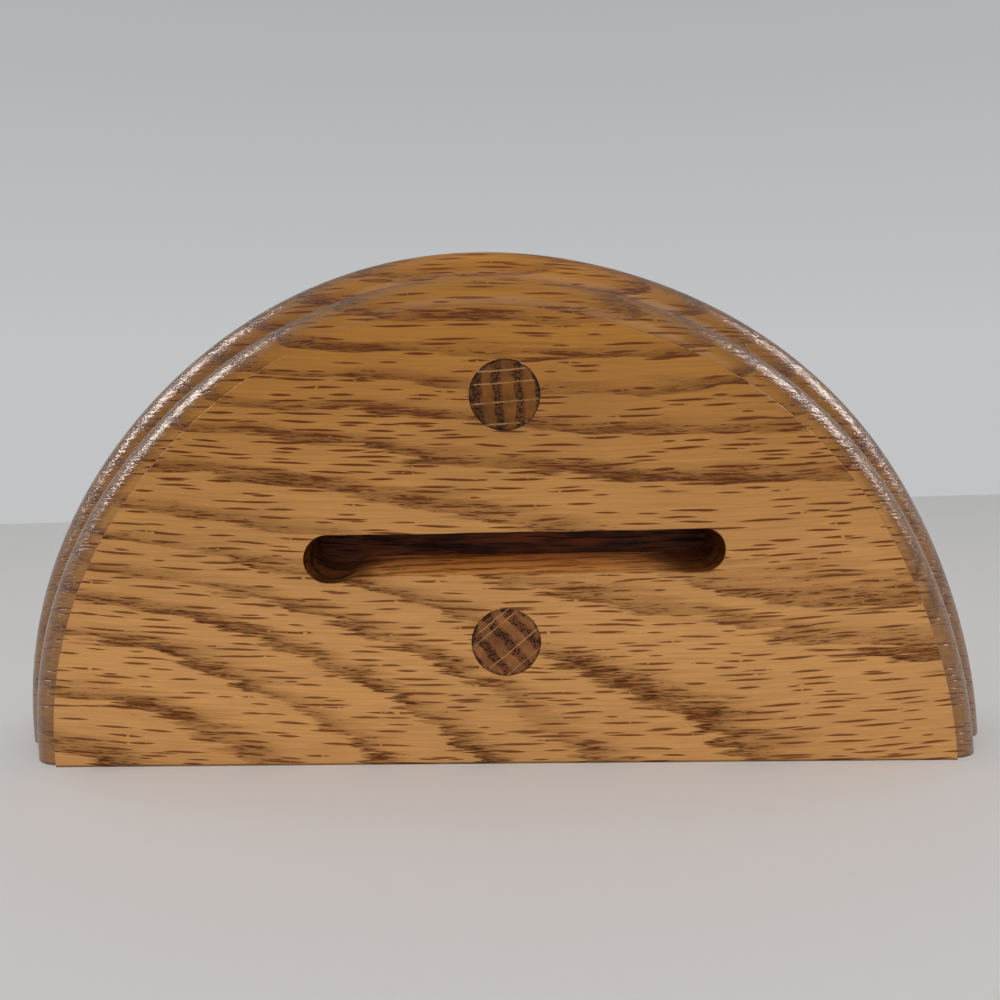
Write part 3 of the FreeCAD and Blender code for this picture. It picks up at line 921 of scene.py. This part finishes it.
# %% Routed section of the front board
STEP_RADIUS = 5.2 * MM
FIRST_SHOULDER = 1.0 * MM
SECOND_SHOULDER = 10.9 * MM
EASED_ARRIS = 0.3 * MM
JOINT_LINE = 0.12 * MM
SECTION_END = 2.0 * MM

first_radius = ARC_RADIUS - STEP_RADIUS
arris_radius = first_radius - STEP_RADIUS
first_y = FACE_Y + FIRST_SHOULDER
second_y = FACE_Y + SECOND_SHOULDER
front_section = [
    (arris_radius - SECTION_END, FACE_Y, 0, 0),
    (arris_radius, FACE_Y, EASED_ARRIS, 3),
    (arris_radius, first_y, 0, 0),
    (first_radius, first_y, STEP_RADIUS, 14),
    (first_radius, second_y, 0, 0),
    (ARC_RADIUS, second_y, STEP_RADIUS, 14),
    (ARC_RADIUS, JOINT_Y, JOINT_LINE, 2),
    (ARC_RADIUS - SECTION_END, JOINT_Y, 0, 0),
]
front = bmesh.new()
draw_section(front, front_section)
print("section points:", len(front.verts))
spin_half_round(front)

# %% [markdown]
# The slot was made with two drilled holes and a saw between them. The left hole was drilled
# larger and a little low, so a step shows where the sill meets it. Its outline is six corners
# with a rounding each, and the sawn edges waver slightly, as a hand-held saw leaves them.

# %% Slot outline
SLOT_CORNERS = [
    # along the base, height, rounding, in millimetres
    (-36.95, 43.75, 4.5),
    (40.15, 44.45, 3.9),
    (40.15, 36.55, 3.9),
    (-27.6, 36.05, 1.6),
    (-30.0, 34.72, 1.3),
    (-36.95, 34.72, 4.5),
]
SAW_WAVER = 0.16 * MM
WAVER_LENGTH = 7.0 * MM


def slot_face(bm, corners, depth):
    """The slot's mouth as one flat face, with round ends and wavering edges."""
    verts = [bm.verts.new((x * MM, depth, z * MM)) for x, z, _ in corners]
    for start, end in zip(verts, verts[1:] + verts[:1]):
        bm.edges.new((start, end))
    for vert, (_, _, rounding) in zip(verts, corners):
        bmesh.ops.bevel(bm, geom=[vert], offset=rounding * MM, offset_type="OFFSET",
                        affect="VERTICES", segments=10, profile=0.5, material=-1,
                        clamp_overlap=False)
    sawn = [edge for edge in bm.edges if edge.is_wire and edge.calc_length() > 10 * MM]
    bmesh.ops.subdivide_edges(bm, edges=sawn, cuts=40)
    outline = [edge for edge in bm.edges if edge.is_wire]
    for vert in {vert for edge in outline for vert in edge.verts}:
        vert.co.z += SAW_WAVER * noise.noise(vert.co / WAVER_LENGTH)
    return bmesh.ops.edgeloop_fill(bm, edges=outline)["faces"][0]


slot = slot_face(front, SLOT_CORNERS, FACE_Y)
print("slot outline points:", len(slot.verts))
cut_opening(front, slot, FACE_Y, JOINT_Y)

# %% Dowel holes
GLUE_GAP = 0.21 * MM
HOLE_POINTS = 72


def hole_face(bm, centre, depth):
    place = Matrix.Translation((centre.x, depth, centre.z)) @ Matrix.Rotation(math.pi / 2, 4, "X")
    made = bmesh.ops.create_circle(bm, cap_ends=True, segments=HOLE_POINTS,
                                   radius=DOWEL_RADIUS + GLUE_GAP, matrix=place)
    return made["verts"][0].link_faces[0]


for node in ("upper_dowel", "lower_dowel"):
    cut_opening(front, hole_face(front, dowel_middle(node), FACE_Y), FACE_Y, JOINT_Y)
close_board(front, FACE_Y, JOINT_Y)
hand_over(front, "routed_front_board", "front_board", front_oak)

# %% [markdown]
# ## Back board
#
# A thinner board closes the slot from behind. It has the same sawn outline, a plain edge and
# only the rear corner eased. Its front face is what shows, dark, at the end of the slot.

# %% Back board
REAR_EASING = 0.8 * MM
back_section = [
    (ARC_RADIUS - SECTION_END, JOINT_Y, 0, 0),
    (ARC_RADIUS, JOINT_Y, JOINT_LINE, 2),
    (ARC_RADIUS, REAR_Y, REAR_EASING, 5),
    (ARC_RADIUS - SECTION_END, REAR_Y, 0, 0),
]
back = bmesh.new()
draw_section(back, back_section)
spin_half_round(back)
for node in ("upper_dowel", "lower_dowel"):
    cut_opening(back, hole_face(back, dowel_middle(node), REAR_Y), REAR_Y, JOINT_Y)
close_board(back, JOINT_Y, REAR_Y)
hand_over(back, "closing_back_board", "back_board", back_oak)

# %% [markdown]
# ## Dowels
#
# Each is a length of half-inch dowel rod, glued right through both boards and sanded flush.
# Rod is never quite round, so its edge is moved in and out by a few hundredths.

# %% Dowels
GLUE_FILL = 0.12 * MM
OUT_OF_ROUND = 0.05 * MM
END_EASING = 0.06 * MM


def make_dowel(node, finish):
    centre = dowel_middle(node)
    bm = bmesh.new()
    glued = DOWEL_RADIUS + GLUE_FILL
    place = Matrix.Translation(centre) @ Matrix.Rotation(math.pi / 2, 4, "X")
    bmesh.ops.create_cone(bm, cap_ends=True, segments=HOLE_POINTS, radius1=glued,
                          radius2=glued, depth=REAR_Y - FACE_Y, matrix=place)
    for vert in bm.verts:
        outwards = Vector((vert.co.x - centre.x, 0, vert.co.z - centre.z)).normalized()
        vert.co += outwards * OUT_OF_ROUND * noise.noise(outwards * 2 + centre / MM)
    rims = [edge for edge in bm.edges if edge.calc_face_angle() > HARD_EDGE]
    bmesh.ops.bevel(bm, geom=rims, offset=END_EASING, offset_type="OFFSET", affect="EDGES",
                    segments=2, profile=0.5, material=-1)
    return hand_over(bm, node + "_rod", node, finish)


make_dowel("upper_dowel", upper_end_grain)
make_dowel("lower_dowel", lower_end_grain)

# %% [markdown]
# ## Floor and light
#
# The block stands on a white cloth whose far edge runs a little askew. Soft light falls from
# above and in front, and another comes in low. Two tall strips at the sides are seen only in
# the varnish, where they put the bright streaks on the routed edge, like windows in a room.

# %% Floor
FLOOR_REACH = 1500 * MM
FLOOR_BACK_LEFT = 80 * MM
FLOOR_BACK_RIGHT = 512 * MM

cloth = bpy.data.materials.new("white_cotton_cloth")
cloth.use_nodes = True
cloth_tree = cloth.node_tree
cloth_tree.nodes.clear()
cloth_shader = add(cloth_tree, "BsdfPrincipled", {
    "Base Color": linear("f3f1f0"), "Roughness": 0.9, "Specular IOR Level": 0.2})
add(cloth_tree, "OutputMaterial", {"Surface": cloth_shader})

floor_mesh = bmesh.new()
floor_mesh.faces.new([floor_mesh.verts.new(corner) for corner in (
    (-FLOOR_REACH, -FLOOR_REACH, 0), (FLOOR_REACH, -FLOOR_REACH, 0),
    (FLOOR_REACH, FLOOR_BACK_RIGHT, 0), (-FLOOR_REACH, FLOOR_BACK_LEFT, 0))])
floor_data = bpy.data.meshes.new("floor")
floor_mesh.to_mesh(floor_data)
floor_mesh.free()
floor_data.materials.append(cloth)
floor = bpy.data.objects.new("floor", floor_data)
bpy.context.scene.collection.objects.link(floor)

# %% Light
world = bpy.data.worlds.new("studio")
bpy.context.scene.world = world
world.use_nodes = True
sky = world.node_tree
sky.nodes.clear()
looking = add(sky, "SeparateXYZ", {0: add(sky, "TexCoord", {}).outputs["Generated"]}).outputs
towards_wall = add(sky, "MapRange", {
    "Value": looking[1], "From Min": -0.5, "From Max": 0.6, "To Min": 0.25, "To Max": 1.0})
upwards = add(sky, "MapRange", {
    "Value": looking[2], "From Min": 0.0, "From Max": 0.8, "To Min": 1.0, "To Max": 0.5})
brightness = add(sky, "Math", {0: towards_wall, 1: upwards}, operation="MULTIPLY")
wall = add(sky, "Background", {"Color": linear("c1c3c4"), "Strength": brightness})
add(sky, "OutputWorld", {"Surface": wall})


def softbox(name, place, width, height, power):
    """A lamp at a place, in metres, that faces the block."""
    data = bpy.data.lights.new(name, "AREA")
    data.shape = "RECTANGLE"
    data.size = width
    data.size_y = height
    data.energy = power
    lamp = bpy.data.objects.new(name, data)
    towards = Vector((0, 0, 40 * MM)) - Vector(place)
    lamp.matrix_world = (Matrix.Translation(place)
                         @ towards.to_track_quat("-Z", "Y").to_matrix().to_4x4())
    bpy.context.scene.collection.objects.link(lamp)
    return lamp


softbox("above", (-0.1, -0.3, 1.4), 2.0, 2.0, 8.2)
softbox("low", (0.1, -1.25, 0.58), 0.9, 0.8, 7.7)
for name, side in (("left strip", -1), ("right strip", 1)):
    strip = softbox(name, (0.76 * side, 0.03, 0.57), 0.11, 0.36, 6.3)
    strip.data.color = (1.0, 0.92, 0.87)
    strip.visible_diffuse = False
